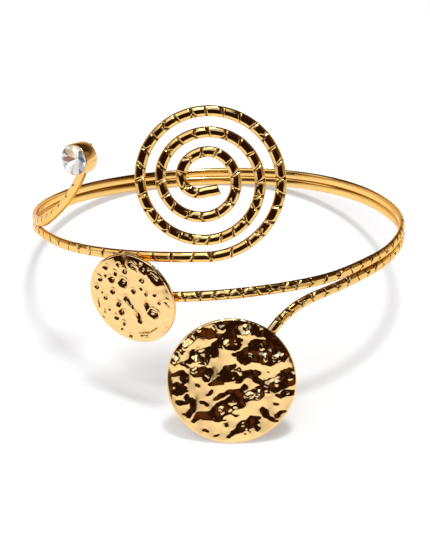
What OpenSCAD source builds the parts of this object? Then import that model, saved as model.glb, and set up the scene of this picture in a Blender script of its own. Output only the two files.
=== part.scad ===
// Upper arm cuff: two slim gold strands run side by side round the back of the arm and part
// at the sides into four ends: a flat spiral, a small disc, a large hammered disc and a
// crystal in a plain cup. It is shown lying as it settles by itself: on the back of the
// band and on the foot of the large disc.

/* [Band round the arm] */
// Outer width of the cuff, from the left side of the arm to the right, mm
outer_width = 80; // [74:1:88]
// Outer depth of the cuff, from front to back, mm
outer_depth = 88.8; // [82:0.2:96]
// How square the oval is: 2 is a true ellipse
squareness = 2.2; // [2:0.05:2.5]
// How far the oval's long axis is turned round the arm, degrees
oval_turn = 11; // [0:1:15]

/* [Strand] */
// Width of one strand, along the arm, mm
strand_width = 2.1; // [1.8:0.1:2.4]
// Thickness of one strand, mm
strand_thick = 1.2; // [1:0.1:1.5]
// Rounding of the strand's outer edges, mm
edge_round = 0.3; // [0.15:0.05:0.4]
// Overlap of the two strands where they are soldered side by side, mm
solder_lap = 0.1; // [0.05:0.05:0.2]

/* [Spiral] */
// Sideways place of the spiral's middle, mm
spiral_x = -1.1; // [-4:0.1:4]
// Height of the spiral's middle above the seam of the band, mm
spiral_z = 19.7; // [19:0.1:21]
// How far in front of the arm's middle the spiral's face lies, mm
spiral_front = 44.5; // [44.2:0.1:45]

/* [Large disc] */
// Diameter of the large disc, mm
large_d = 25.6; // [23:0.2:28]
// Thickness of the large disc, mm
large_thick = 1.5; // [1.3:0.1:1.8]
// Strength of its hammered relief: 1 as made
large_relief = 1; // [0.4:0.1:1.2]

/* [Small disc] */
// Diameter of the small disc, mm
small_d = 19.1; // [17:0.1:21]
// Thickness of the small disc, mm
small_thick = 1.2; // [1.1:0.1:1.6]

/* [Crystal and cup] */
// Outer diameter of the plain cup, mm
cup_d = 6.2; // [5.6:0.1:7]
// Depth of the cup, mm
cup_deep = 3.3; // [2.8:0.1:3.8]
// Wall of the cup, mm
cup_wall = 0.35; // [0.3:0.05:0.5]
// Gap between the crystal and its cup, mm
crystal_gap = 0.05; // [0.03:0.01:0.1]

/* [Rest] */
// How far the front of the cuff is raised as it lies, degrees
rest_tilt = 18.8; // [10:0.1:26]
// How far its right side is raised as it lies, degrees
rest_roll = 1.5; // [-4:0.1:6]

/* [Hidden] */

GOLD = [1, 0.83, 0.52];
GLASS = [0.9, 0.93, 0.96];

// Footprint's middle and lowest point before the cuff is set down on Z = 0
set_down = [0, -6.33, -16.51];

// Columns of a row on the band: angle round the arm (0 right, 90 back), stand-off from the
// oval and height of the strand's middle
ANGLE = 0; OFF = 1; HEIGHT = 2;

side = strand_width/2 - solder_lap/2;

// Upper strand, from behind the small disc, right, round the back to the crystal
upper_rows = [
    [ -114, -0.1, -4.4],
    [ -106,  0.0, -4.0],
    [  -94,  0.0, -3.5],
    [  -82,  0.0, -3.05],
    [  -70,  0.0, -2.55],
    [  -59,  0.0, -2.0],
    [  -47,  0.0, -1.0],
    [  -34,  0.0, -0.3],
    [  -18,  0.0,  0.6],
    [    0,  0.0,  side - 0.1],
    [   20, -0.1,  side - 0.1],
    [   42, -0.4,  side],
    [   66, -0.4,  side],
    [   90,  0.2,  side - 0.15],
    [  114,  0.9,  side - 0.4],
    [  136,  0.8,  side - 0.4],
    [  155,  0.2,  side],
    [  172,  0.0,  side + 0.8],
    [  187,  0.0,  side + 1.8],
    [  199,  0.0,  4.1],
    [  208,  0.1,  5.7],
    [  215,  0.1,  7.9],
    [  220.5, 0.1, 10.3],
    [  225,  0.0, 12.8],
    [  228.6, 0.0, 15.4],
    [  231.4, 0.0, 17.9],
    [  233.4, 0.0, 20.6],
    [  234.6, 0.0, 23.6]
];

// Lower strand, from behind the large disc, right, round the back to the foot of the spiral
lower_rows = [
    [  -82.5, 2.2, -17.6],
    [  -80.2, 2.1, -15.0],
    [  -77.8, 1.9, -12.4],
    [  -75.0, 1.4, -9.8],
    [  -71.8, 0.8, -7.9],
    [  -68.4, 0.3, -6.5],
    [  -64.0, 0.0, -5.4],
    [  -58.0, 0.0, -4.45],
    [  -49.0, 0.0, -3.3],
    [  -38.0, 0.0, -2.5],
    [  -22.0, 0.0, -1.6],
    [    0,  0.0, -side - 0.1],
    [   20, -0.1, -side - 0.1],
    [   42, -0.4, -side],
    [   66, -0.4, -side],
    [   90,  0.2, -side - 0.15],
    [  114,  0.9, -side - 0.4],
    [  136,  0.8, -side - 0.4],
    [  155,  0.2, -side],
    [  172,  0.0, -side + 0.8],
    [  187,  0.0, -side + 1.8],
    [  199,  0.0,  2.15],
    [  211,  0.0,  2.8],
    [  222,  0.0,  3.1],
    [  233,  0.0,  3.5],
    [  244,  0.0,  3.9],
    [  254,  0.0,  4.2],
    [  262,  0.0,  4.35]
];

// Columns of a row on the spiral: angle round its middle (0 right, 90 up) and radius
TURN = 0; RADIUS = 1;

// Spiral, from its foot at the front strand inwards to the cut end, three turns
spiral_rows = [
    [ -91, 15.3],
    [  -1, 14.1],
    [  89, 13.3],
    [ 179, 12.75],
    [ 269, 11.9],
    [ 359, 10.1],
    [ 449,  9.25],
    [ 539,  8.85],
    [ 629,  7.25],
    [ 719,  5.5],
    [ 809,  5.45],
    [ 899,  4.85],
    [ 975,  2.55],
    [1040,  2.9]
];

// Columns of a hammer mark on the large disc: place right of and above the middle, half
// length, half width, direction, depth. The steep lip lies on the downhill side.
MX = 0; MY = 1; LONG = 2; WIDE = 3; AIM = 4; DEEP = 5;
large_marks = [
    [  0.8, 10.3, 4.2, 1.3,   2, 0.50],
    [  8.0,  6.6, 2.8, 2.2, -50, 0.55],
    [  3.0,  5.4, 3.0, 1.2,  14, 0.45],
    [ -1.6,  7.6, 1.6, 1.0,  20, 0.40],
    [ -5.6,  6.0, 2.4, 1.2,  60, 0.50],
    [ -6.0,  2.2, 2.0, 1.3,  80, 0.45],
    [ -8.8,  8.0, 4.0, 1.0,  42, 0.35],
    [-10.2,  1.4, 1.5, 0.8,   0, 0.35],
    [-10.4, -1.2, 1.0, 1.0,   0, 0.35],
    [ -8.8, -3.8, 2.4, 0.8, -50, 0.35],
    [  1.4,  1.5, 3.8, 1.3,  -4, 0.50],
    [ -3.2,  0.0, 1.2, 0.5,   5, 0.30],
    [ -5.2, -7.0, 2.6, 1.2,  24, 0.50],
    [ -0.6, -4.0, 3.2, 1.6,  30, 0.55],
    [  5.6, -1.6, 3.2, 1.3,  22, 0.50],
    [ 10.0,  1.0, 2.4, 1.2,  50, 0.45],
    [ 11.0, -1.8, 1.2, 0.7,   0, 0.35],
    [  2.6, -8.8, 3.4, 1.1,  34, 0.50],
    [  6.8, -6.2, 1.3, 0.8,  60, 0.40],
    [  9.2, -6.4, 1.4, 0.6,  15, 0.35]
];

// Columns of a dent in the small disc: place right of and above the middle, half length,
// half width, direction, depth
small_dents = [
    [-1.9,  3.2, 0.8, 0.8,   20, 0.30],
    [-3.8,  3.7, 0.5, 0.7,  -30, 0.22],
    [ 2.6,  5.2, 0.4, 0.8,    0, 0.30],
    [ 5.0,  3.4, 0.5, 0.9,  -30, 0.35],
    [ 0.2,  6.4, 0.9, 0.6,   10, 0.25],
    [-0.6, -0.3, 1.1, 0.5,  -52, 0.28],
    [ 1.7, -3.6, 0.9, 0.5,  -85, 0.28],
    [ 4.6, -2.4, 0.9, 0.9,  -50, 0.35],
    [ 7.2, -1.0, 0.8, 0.45, -55, 0.25],
    [-2.3, -2.7, 0.5, 0.5,  -20, 0.22]
];

// Point on the oval round the arm: its outer face moved out by off, at an angle round the arm
function reach(f, off) = pow(
    pow(abs(cos(f))/(outer_width/2 + off), squareness) +
    pow(abs(sin(f))/(outer_depth/2 + off), squareness), -1/squareness);
function oval(a, off) = reach(a - oval_turn, off)*[cos(a), sin(a)];
function outward(a) = let (d = oval(a + 0.5, 0) - oval(a - 0.5, 0), n = [d[1], -d[0]]) n/norm(n);

// Smooth curve through the rows of a table, as many steps between two rows as asked for
function curve(a, b, c, d, t) =
    0.5*(2*b + (c - a)*t + (2*a - 5*b + 4*c - d)*t*t + (3*b - a - 3*c + d)*t*t*t);
function along(rows, steps) = let (last = len(rows) - 1) [
    for (i = [0:last - 1]) for (k = [0:steps - 1])
        curve(rows[max(i - 1, 0)], rows[i], rows[i + 1], rows[min(i + 2, last)], k/steps),
    rows[last]
];

// A station of a strand: the middle of its section and the way its outer face looks
function on_band(r) = let (q = oval(r[ANGLE], r[OFF] - strand_thick/2), n = outward(r[ANGLE]))
    [[q[0], q[1], r[HEIGHT]], [n[0], n[1], 0]];
function on_spiral(r) =
    [[spiral_x + r[RADIUS]*cos(r[TURN]), strand_thick/2 - spiral_front,
      spiral_z + r[RADIUS]*sin(r[TURN])], [0, -1, 0]];

// Section of a strand: across its width and outwards, flat inside, crowned outside
section = let (w = strand_width/2, t = strand_thick/2, e = edge_round) [
    [-w + 0.15, -t], [w - 0.15, -t], [w, -t + 0.15], [w, t - e - 0.1],
    [w - e, t - 0.08], [0, t], [-w + e, t - 0.08], [-w, t - e - 0.1], [-w, -t + 0.15]
];

// One closed solid along the stations, with flat cut ends
module strand(stations) {
    n = len(stations);
    m = len(section);
    points = [
        for (i = [0:n - 1]) let (
            fwd = stations[min(i + 1, n - 1)][0] - stations[max(i - 1, 0)][0],
            out = stations[i][1],
            across = cross(out, fwd)/norm(cross(out, fwd)),
            top = cross(fwd, across)/norm(cross(fwd, across)))
            for (s = section) stations[i][0] + s[0]*across + s[1]*top
    ];
    polyhedron(points, [
        [for (j = [0:m - 1]) j],
        for (i = [0:n - 2]) for (j = [0:m - 1]) let (k = (j + 1) % m) each [
            [i*m + j, (i + 1)*m + k, i*m + k],
            [i*m + j, (i + 1)*m + j, (i + 1)*m + k]],
        [for (j = [0:m - 1]) n*m - 1 - j]
    ]);
}

module upper_strand() {
    strand([for (r = along(upper_rows, 4)) on_band(r)]);
}

module lower_strand() {
    strand(concat(
        [for (r = along(lower_rows, 4)) on_band(r)],
        [for (r = along(spiral_rows, 8)) on_spiral(r)]));
}

// Turns a piece so that its face looks out at an angle round the arm, raised by lift
module facing(angle, lift, at) {
    translate(at) rotate([0, 0, angle - 270]) rotate([90 - lift, 0, 0]) children();
}

// Depth of one hammer mark at a point: a slow fall, then a steep lip on the low side
function swell(t) = let (u = max(0, min(1, t))) u*u*(3 - 2*u);
function mark(m, x, y) = let (
    u = (x - m[MX])*cos(m[AIM]) + (y - m[MY])*sin(m[AIM]),
    v = (y - m[MY])*cos(m[AIM]) - (x - m[MX])*sin(m[AIM]),
    ends = swell(1.6 - 1.3*abs(u)/m[LONG]))
    m[DEEP]*ends*(v > 0 ? swell(1 - v/(2.2*m[WIDE])) : swell(1 + v/m[WIDE]));
function hammered(x, y) =
    -large_relief*min(0.62, max([for (m = large_marks) mark(m, x, y)]));

// Large disc: rings of points over its face follow the hammer marks, the back is flat
module large_disc() {
    rings = 17;
    n = 60;
    r_in = large_d/2 - 0.35;
    grid = [for (i = [1:rings]) for (j = [0:n - 1])
        let (r = r_in*i/rings, a = 360*j/n, x = r*cos(a), y = r*sin(a),
             rim = swell((large_d/2 - r)/1.2))
        [x, y, large_thick + rim*hammered(x, y) - (i == rings ? 0.05 : 0)]];
    wall = [for (s = [[0, large_thick - 0.35], [0, 0.3], [-0.3, 0]]) for (j = [0:n - 1])
        let (a = 360*j/n, r = large_d/2 + s[0]) [r*cos(a), r*sin(a), s[1]]];
    points = concat([[0, 0, large_thick + hammered(0, 0)]], grid, wall, [[0, 0, 0]]);
    all = rings + 3;
    last = len(points) - 1;
    facing(270, 2, [2.8, -47.0 + large_thick, -20.5])
        polyhedron(points, concat(
            [for (j = [0:n - 1]) [0, 1 + (j + 1) % n, 1 + j]],
            [for (i = [0:all - 2]) for (j = [0:n - 1]) let (k = (j + 1) % n) each [
                [1 + i*n + j, 1 + i*n + k, 1 + (i + 1)*n + k],
                [1 + i*n + j, 1 + (i + 1)*n + k, 1 + (i + 1)*n + j]]],
            [for (j = [0:n - 1]) [last, 1 + (all - 1)*n + j, 1 + (all - 1)*n + (j + 1) % n]]));
}

// Small disc: a smooth plate with a softened edge, pitted by round and long dents
module small_disc() {
    facing(241, -11, [-16.7, -42.0, -4.6]) translate([0, 0, -small_thick])
        difference() {
            rotate_extrude($fn = 56) polygon([
                [0, 0], [small_d/2 - 0.3, 0], [small_d/2, 0.3], [small_d/2, small_thick - 0.4],
                [small_d/2 - 0.35, small_thick - 0.05], [small_d/2 - 1.2, small_thick], [0, small_thick]]);
            for (d = small_dents)
                translate([d[0], d[1], small_thick]) rotate(d[4]) hull()
                    for (s = [-1, 1]) translate([s*max(d[2] - d[3]/2, 0.05), 0, 0])
                        scale([d[3], d[3], d[5]]) sphere(r = 1, $fn = 12);
        }
}

// Plain round cup at the top of the upper strand, open to the front
module crystal_cup() {
    facing(236.6, 0, [-25.1, -35.0, 22.7]) translate([0, 0, -0.2]) difference() {
        cylinder(d = cup_d, h = cup_deep + 0.2, $fn = 48);
        translate([0, 0, 0.9]) cylinder(d = cup_d - 2*cup_wall, h = cup_deep, $fn = 48);
    }
}

module cuff() {
    color(GOLD) rest() union() {
        upper_strand();
        lower_strand();
        large_disc();
        small_disc();
        crystal_cup();
    }
}

// Round cut stone: an eight-sided table, eight mains, sixteen girdle facets and a point
module crystal() {
    r = cup_d/2 - cup_wall - crystal_gap;
    mid = cup_deep + 0.05;
    color(GLASS) rest() facing(236.6, 0, [-25.1, -35.0, 22.7]) hull() {
        translate([0, 0, mid + 0.75]) cylinder(r = 0.56*r, h = 0.01, $fn = 8);
        translate([0, 0, mid + 0.42]) rotate(22.5) cylinder(r = 0.82*r, h = 0.01, $fn = 8);
        translate([0, 0, mid - 0.1]) cylinder(r = r, h = 0.12, $fn = 16);
        translate([0, 0, mid - 1.1]) rotate(22.5) cylinder(r = 0.55*r, h = 0.01, $fn = 8);
        translate([0, 0, mid - 2.2]) cylinder(r = 0.06*r, h = 0.01, $fn = 8);
    }
}

// Lays the cuff down as it settles: front raised, right side a little raised
module rest() {
    translate(-set_down) rotate([-rest_tilt, -rest_roll, 0]) children();
}

cuff();
crystal();
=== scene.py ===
# %% [markdown]
# # Upper arm cuff
# Two slim engraved strands lie side by side round the back of the arm and part at the sides
# into four ends: a flat spiral, a small disc, a large hammered disc and a crystal in a cup.
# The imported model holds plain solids. This script dresses them with fine meshes, polished gold
# and a cut stone, each worked out from a few sizes and short tables.

# %% Load the frame
import math
import bpy
import numpy as np
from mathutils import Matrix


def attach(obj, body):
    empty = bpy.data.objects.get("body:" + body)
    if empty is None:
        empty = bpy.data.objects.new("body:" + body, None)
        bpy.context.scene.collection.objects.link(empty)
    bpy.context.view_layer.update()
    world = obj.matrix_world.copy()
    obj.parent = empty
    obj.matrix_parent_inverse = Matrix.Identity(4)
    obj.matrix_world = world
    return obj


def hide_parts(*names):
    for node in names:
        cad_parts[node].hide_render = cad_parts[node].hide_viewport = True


MM = 1000  # millimetres in a metre
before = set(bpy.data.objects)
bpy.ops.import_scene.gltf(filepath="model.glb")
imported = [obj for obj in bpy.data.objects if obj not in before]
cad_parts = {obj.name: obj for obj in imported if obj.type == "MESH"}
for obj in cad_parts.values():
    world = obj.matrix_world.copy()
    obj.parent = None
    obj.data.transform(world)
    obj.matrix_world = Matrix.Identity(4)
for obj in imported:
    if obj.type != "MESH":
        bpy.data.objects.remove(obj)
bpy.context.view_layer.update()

# %% [markdown]
# ## Where the cuff lies
# Laid down, the cuff leans on its large disc and the back of its strands. A leaning thing is
# hard to model, so the sizes below are in millimetres in the cuff's own upright frame: the arm
# runs along Z and the spiral faces -Y. Two turns and a shift then lay each point on the floor,
# in metres, where the solids lie.

# %% Resting pose
REST_TILT = 18.8  # degrees, front up
REST_ROLL = 1.5  # degrees, right side up
SET_DOWN = (0, -6.33, -16.51)

def about(axis, degrees):
    """A turn about one axis: the turn about X, with its rows and columns moved on."""
    c, s = math.cos(math.radians(degrees)), math.sin(math.radians(degrees))
    return np.roll([[1, 0, 0], [0, c, -s], [0, s, c]], "XYZ".index(axis), axis=(0, 1))

REST_TURN = about("Y", -REST_ROLL) @ about("X", -REST_TILT)

def laid_down(points):
    """Upright millimetres to metres on the floor."""
    return (np.asarray(points, float) @ REST_TURN.T - SET_DOWN)/MM

print("the arm's middle lies at, m:", laid_down([0, 0, 0]).round(4))

# %% [markdown]
# ## From numbers to a mesh
# Blender can shape a mesh by hand, with modifiers or from lists of points and faces. Relief as
# fine as this is worked out for thousands of points at once, which NumPy does well, so every
# piece is made from such lists. `paint` keeps a number for each point, for a material to read.

# %% Mesh helpers
def make_piece(name, points, faces, smooth=True):
    mesh = bpy.data.meshes.new(name)
    mesh.from_pydata(np.asarray(points).tolist(), [], faces)
    mesh.polygons.foreach_set("use_smooth", [smooth]*len(mesh.polygons))
    mesh.update()
    piece = bpy.data.objects.new(name, mesh)
    bpy.context.collection.objects.link(piece)
    print(name, "has", len(mesh.vertices), "points and", len(mesh.polygons), "faces")
    return piece

def paint(piece, name, values):
    layer = piece.data.attributes.new(name, "FLOAT", "POINT")
    layer.data.foreach_set("value", np.asarray(values, np.float32))

def swell(t):
    """Rises smoothly from 0 to 1."""
    u = np.clip(t, 0, 1)
    return u*u*(3 - 2*u)

print("swell:", swell(np.array([0, 0.25, 0.5, 1])))

# %% [markdown]
# ## The oval round the arm
# An arm isn't quite round, so the band is an oval, a little squarer than an ellipse and turned
# a few degrees. A curve drawn by hand would not keep two strands together, and one formula with
# four numbers does. `along` bends a smooth curve through the rows of a table, like a wire.

# %% Oval and curve
OUTER_WIDTH = 80
OUTER_DEPTH = 88.8
SQUARENESS = 2.2  # 2 is an ellipse, more is squarer
OVAL_TURN = 11

def oval(angle, off=0.0):
    """Points on the oval, or off it by some millimetres, at angles round the arm."""
    f = np.radians(np.asarray(angle) - OVAL_TURN)
    across = (np.abs(np.cos(f))/(OUTER_WIDTH/2 + off))**SQUARENESS
    deep = (np.abs(np.sin(f))/(OUTER_DEPTH/2 + off))**SQUARENESS
    reach = (across + deep)**(-1/SQUARENESS)
    a = np.radians(angle)
    return np.stack([reach*np.cos(a), reach*np.sin(a)], -1)

def along(rows, steps):
    """Smooth curve through the rows of a table, `steps` points from row to row."""
    rows = np.asarray(rows, float)
    points = []
    for i in range(len(rows) - 1):
        a, b = rows[max(i - 1, 0)], rows[i]
        c, d = rows[i + 1], rows[min(i + 2, len(rows) - 1)]
        for t in np.arange(steps)/steps:
            square = (2*a - 5*b + 4*c - d)*t**2
            cube = (3*b - a - 3*c + d)*t**3
            points.append(0.5*(2*b + (c - a)*t + square + cube))
    return np.array(points + [rows[-1]])

def run_along(route):
    """The distance from the start to each point of a route."""
    return np.concatenate([[0], np.cumsum(np.linalg.norm(np.diff(route, axis=0), axis=1))])

print("round the oval, mm:", round(run_along(oval(np.arange(361)))[-1], 1))

# %% [markdown]
# ## The two strands as tables
# On the real cuff a strand is one flat wire, bent round a former. The upper one runs from the
# small disc round the right side and the back, and climbs to the crystal. The lower one runs
# from the large disc the same way, across the front and into the spiral. A row is an angle
# round the arm, a stand-off and a height. Both share the rows of the back, where they are
# soldered side by side.

# %% Strand tables
STRAND_WIDTH = 2.1
STRAND_THICK = 1.2
SOLDERED = 0.05  # how far each strand goes into the other
SIDE = STRAND_WIDTH/2 - SOLDERED

BACK_ROWS = [(0, 0, -0.1), (20, -0.1, -0.1), (42, -0.4, 0), (66, -0.4, 0), (90, 0.2, -0.15),
             (114, 0.9, -0.4), (136, 0.8, -0.4), (155, 0.2, 0), (172, 0, 0.8), (187, 0, 1.8)]
UPPER_ROWS = [(-114, -0.1, -4.4), (-106, 0, -4), (-94, 0, -3.5), (-82, 0, -3.05),
              (-70, 0, -2.55), (-59, 0, -2), (-47, 0, -1), (-34, 0, -0.3), (-18, 0, 0.6),
              *[(a, off, SIDE + h) for a, off, h in BACK_ROWS],
              (199, 0, 4.1), (208, 0.1, 5.7), (215, 0.1, 7.9), (220.5, 0.1, 10.3),
              (225, 0, 12.8), (228.6, 0, 15.4), (231.4, 0, 17.9), (233.4, 0, 20.6), (234.6, 0, 23.6)]
LOWER_ROWS = [(-82.5, 2.2, -17.6), (-80.2, 2.1, -15), (-77.8, 1.9, -12.4), (-75, 1.4, -9.8),
              (-71.8, 0.8, -7.9), (-68.4, 0.3, -6.5), (-64, 0, -5.4), (-58, 0, -4.45),
              (-49, 0, -3.3), (-38, 0, -2.5), (-22, 0, -1.6),
              *[(a, off, -SIDE + h) for a, off, h in BACK_ROWS],
              (199, 0, 2.15), (211, 0, 2.8), (222, 0, 3.1), (233, 0, 3.5), (244, 0, 3.9),
              (254, 0, 4.2), (262, 0, 4.35)]
print("both strands together, mm:", 2*SIDE + STRAND_WIDTH)

# %% [markdown]
# ## The spiral as a table
# The spiral is the same wire, coiled flat by hand: its turns are not quite even, and the last
# one ends in a short straight piece. A plain Archimedes spiral would look like a machine's, so
# the rows give an angle and a radius, and the curve joins them.

# %% Spiral table
SPIRAL_X = -1.1
SPIRAL_Z = 19.7
SPIRAL_FRONT = 44.5  # its face stands this far in front of the arm's middle

SPIRAL_ROWS = [(-91, 15.3), (-1, 14.1), (89, 13.3), (179, 12.75), (269, 11.9), (359, 10.1),
               (449, 9.25), (539, 8.85), (629, 7.25), (719, 5.5), (809, 5.45), (899, 4.85),
               (975, 2.55), (1010, 2.35), (1040, 2.9)]
print("turns of the spiral:", round((SPIRAL_ROWS[-1][0] - SPIRAL_ROWS[0][0])/360, 1))

# %% [markdown]
# ## Routes
# A route is the middle line of a strand, with the way its face looks at each point: outwards
# on the band, to the front on the spiral. A Blender curve with a bevel could follow the same
# line, but it twists where it likes, and the engraving has to know which side is out.

# %% Strand routes
BAND_STEPS, SPIRAL_STEPS = 24, 48

def band_route(rows):
    t = along(rows, BAND_STEPS)
    middle = oval(t[:, 0], t[:, 1] - STRAND_THICK/2)
    way = oval(t[:, 0] + 0.5) - oval(t[:, 0] - 0.5)
    out = np.stack([way[:, 1], -way[:, 0]], -1)/np.linalg.norm(way, axis=1)[:, None]
    return np.column_stack([middle, t[:, 2]]), np.column_stack([out, np.zeros(len(t))])

def spiral_route(rows):
    t = along(rows, SPIRAL_STEPS)
    a = np.radians(t[:, 0])
    depth = np.full(len(a), STRAND_THICK/2 - SPIRAL_FRONT)
    middle = np.column_stack([SPIRAL_X + t[:, 1]*np.cos(a), depth, SPIRAL_Z + t[:, 1]*np.sin(a)])
    return middle, np.tile([0.0, -1.0, 0.0], (len(a), 1))

upper_route = band_route(UPPER_ROWS)
band, spiral = band_route(LOWER_ROWS), spiral_route(SPIRAL_ROWS)
lower_route = np.vstack([band[0], spiral[0]]), np.vstack([band[1], spiral[1]])
print("points on the routes:", len(upper_route[0]), len(lower_route[0]))

# %% [markdown]
# ## Section of a strand
# The wire is about twice as wide as thick. Its outer face is flat in the middle with a soft
# slope to each edge, which gives two light lines along a polished strand. A bevelled rectangle
# would be quick, but the engraving needs many points outside and few inside.

# %% Section
FLAT_PART = 0.38  # share of the half width that is flat
FALL, BULGE = 0.46, 0.1  # how the face falls from there towards its edge
ROLL_FROM, ROLL_DROP = 0.76, 0.32  # where the very edge begins, and how far it rolls over
EDGE_POINTS = np.array([0.91, 0.95, 0.98, 1])
OUTER_FACE = np.concatenate([-EDGE_POINTS[::-1], np.linspace(-0.86, 0.86, 23), EDGE_POINTS])
INNER_POINTS = 9
INNER_ROUND = (0.8, 0.85)  # below 1 makes the inner side fuller than an ellipse

def crown(v):
    """Height of the outer face over the middle of the section, from -1 to 1 across it."""
    u = np.clip((np.abs(v) - FLAT_PART)/(1 - FLAT_PART), 0, 1)
    roll = ROLL_DROP*np.clip((u - ROLL_FROM)/(1 - ROLL_FROM), 0, 1)**1.5
    return STRAND_THICK/2 - (1 - FLAT_PART)*STRAND_WIDTH/2*(FALL*u + BULGE*u**3) - roll

def section():
    w, t = STRAND_WIDTH/2, STRAND_THICK/2
    outer = [(w*v, crown(v)) for v in OUTER_FACE[::-1]]
    turn = np.radians(np.linspace(180, 360, INNER_POINTS + 2)[1:-1])
    c, s = np.cos(turn), np.sin(turn)
    inner = np.column_stack([w*np.sign(c)*np.abs(c)**INNER_ROUND[0], -t*np.abs(s)**INNER_ROUND[1]])
    return np.vstack([outer, inner])

print("points round the section:", len(section()), "edge height mm:", round(crown(1), 2))

# %% [markdown]
# ## Kinds of mark
# Cut bars cross the outer face every 3 mm, like the scales of a snake. They lean left or right,
# fork, or bend to an arrow, and near the crystal they are short. Bars drawn as a bump would stay
# flat at the edges of a mirror-bright strand, so each mark is a few real strokes, and a seeded
# random walk lays them out unevenly, as a hand would.

# %% Marks
MARK_SPAN = 1.2  # how far the marks below are stretched across the face
# Strokes of each mark, from where they are deep: along (mm), across (-1 to 1), along, across
MARKS = {
    "lean": [(-0.3, -0.6, 0.35, 0.62)],
    "steep": [(0.1, 0.62, -0.1, -0.62)],
    "back": [(0.3, -0.62, -0.3, 0.6)],
    "fork": [(-0.1, -0.62, 0.1, 0.1), (0.6, 0.7, 0.1, 0.0), (-0.35, 0.7, 0.1, 0.0)],
    "arrow": [(-0.45, -0.65, 0.25, 0.0), (-0.35, 0.65, 0.25, 0.0)],
    "split": [(0.15, -0.65, 0.1, 0.0), (-0.6, 0.65, 0.1, 0.0), (0.1, 0.0, 0.75, 0.25)],
    "comma": [(-0.5, 0.75, 0.1, 0.1)],
}
ORDER = ["lean", "back", "steep", "lean", "fork", "back", "arrow", "steep", "split", "lean"]
FRONT_ORDER = ["fork", "arrow", "back", "split", "fork", "lean", "arrow", "split"]
FRONT_LENGTH = 90  # the start of each strand, which follows the second order
MARK_GAP, WIDE_GAP, GAP_SPREAD = 2.5, 3.4, 0.9
WIDER = (208, 272)  # part of a strand, on the left, with wide gaps
FIRST_MARK, LAST_MARK = 1.6, 1.8  # from the start, and from the end
PLAIN, SKIP = 0.6, 0.3  # chances that a mark isn't mirrored, and that a kind is left out

def strokes(length, seed, stem):
    """Strokes of a whole strand. Its last `stem` mm have only short marks at one edge."""
    rng = np.random.default_rng(seed)
    out, s, i = [], FIRST_MARK, seed
    while s < length - LAST_MARK:
        flip = 1 if rng.random() < PLAIN else -1
        order = FRONT_ORDER if s < FRONT_LENGTH else ORDER
        kind = "comma" if s > length - stem else order[i % len(order)]
        out += [(s + a*flip, MARK_SPAN*b, s + c*flip, MARK_SPAN*d) for a, b, c, d in MARKS[kind]]
        s += (WIDE_GAP if WIDER[0] < s < WIDER[1] else MARK_GAP) + GAP_SPREAD*rng.random()
        i += 1 + int(rng.random() < SKIP)
    return np.array(out)

print("strokes on 100 mm:", len(strokes(100, seed=3, stem=0)))

# %% [markdown]
# ## Cutting the marks
# A graver leaves a groove that is deep where it enters and runs out thin, with a little lip on
# both sides. Hundreds of boolean cuts would be slow and fragile. Here each point of the outer
# face looks how near it is to a stroke and moves in or out, and the rings of points stand
# closer at the strokes.

# %% Engraving
CUT_WIDTH, CUT_DEPTH, LIP_HEIGHT = 0.31, 0.26, 0.035
CUT_REACH = 0.6  # a stroke is felt this far along
THINNER, SHALLOWER = 0.45, 0.3  # what a stroke loses towards its far end
LIP_AT, LIP_WIDE = 1.35, 0.3  # in half widths of the groove
FINE_STEP, COARSE_STEP, FINE_REACH = 0.14, 0.36, 0.5

def to_stroke(x, y, ax, ay, bx, by):
    """The nearest place on a stroke, as a share of its length, and the distance to it."""
    dx, dy = bx - ax, by - ay
    share = np.clip(((x - ax)*dx + (y - ay)*dy)/(dx**2 + dy**2), 0, 1)
    return share, np.hypot(x - ax - share*dx, y - ay - share*dy)

def stations(length, cuts):
    """Distances for the rings of points."""
    s = np.arange(0, length, FINE_STEP)
    near = np.abs(s[:, None] - (cuts[:, 0] + cuts[:, 2])/2).min(axis=1) < FINE_REACH
    return np.unique(np.concatenate([s[near], np.arange(0, length, COARSE_STEP), [length]]).round(3))

def engraving(s, v, cuts):
    """How deep in a stroke each point of the outer face lies, and how near to the lip beside it."""
    depth, lips = np.zeros((2, len(s), len(v)))
    half = STRAND_WIDTH/2
    for a, b, c, d in cuts:
        near = np.where((s > min(a, c) - CUT_REACH) & (s < max(a, c) + CUT_REACH))[0]
        S, Y = np.meshgrid(s[near], v*half, indexing="ij")
        share, r = to_stroke(S, Y, a, b*half, c, d*half)
        r = r/CUT_WIDTH/(1 - THINNER*share)
        depth[near] = np.maximum(depth[near], (1 - SHALLOWER*share)*np.clip(1 - r, 0, 1)**0.8)
        lips[near] = np.maximum(lips[near], np.exp(-((r - LIP_AT)/LIP_WIDE)**2))
    return depth, lips*(depth == 0)

print("share and distance:", to_stroke(0.5, 1.0, 0, 0, 1, 0))

# %% [markdown]
# ## The strand meshes
# A strand is one closed mesh: a ring of points for each station, joined ring to ring, with a cap
# at each end. Sweeping it in code lets the depth of each cut be painted on the mesh as well,
# for the gold to read.

# %% Strands
EDGE_REFLECTION_FROM, EDGE_REFLECTION_OVER = 0.66, 0.32  # where the painted reflection and shade at the edge begins, and over how much it grows

def at_run(values, run, s):
    """The values of a route's points, read at the distances s."""
    return np.column_stack([np.interp(s, run, values[:, k]) for k in range(3)])

def unit(vectors):
    return vectors/np.linalg.norm(vectors, axis=1)[:, None]

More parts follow.
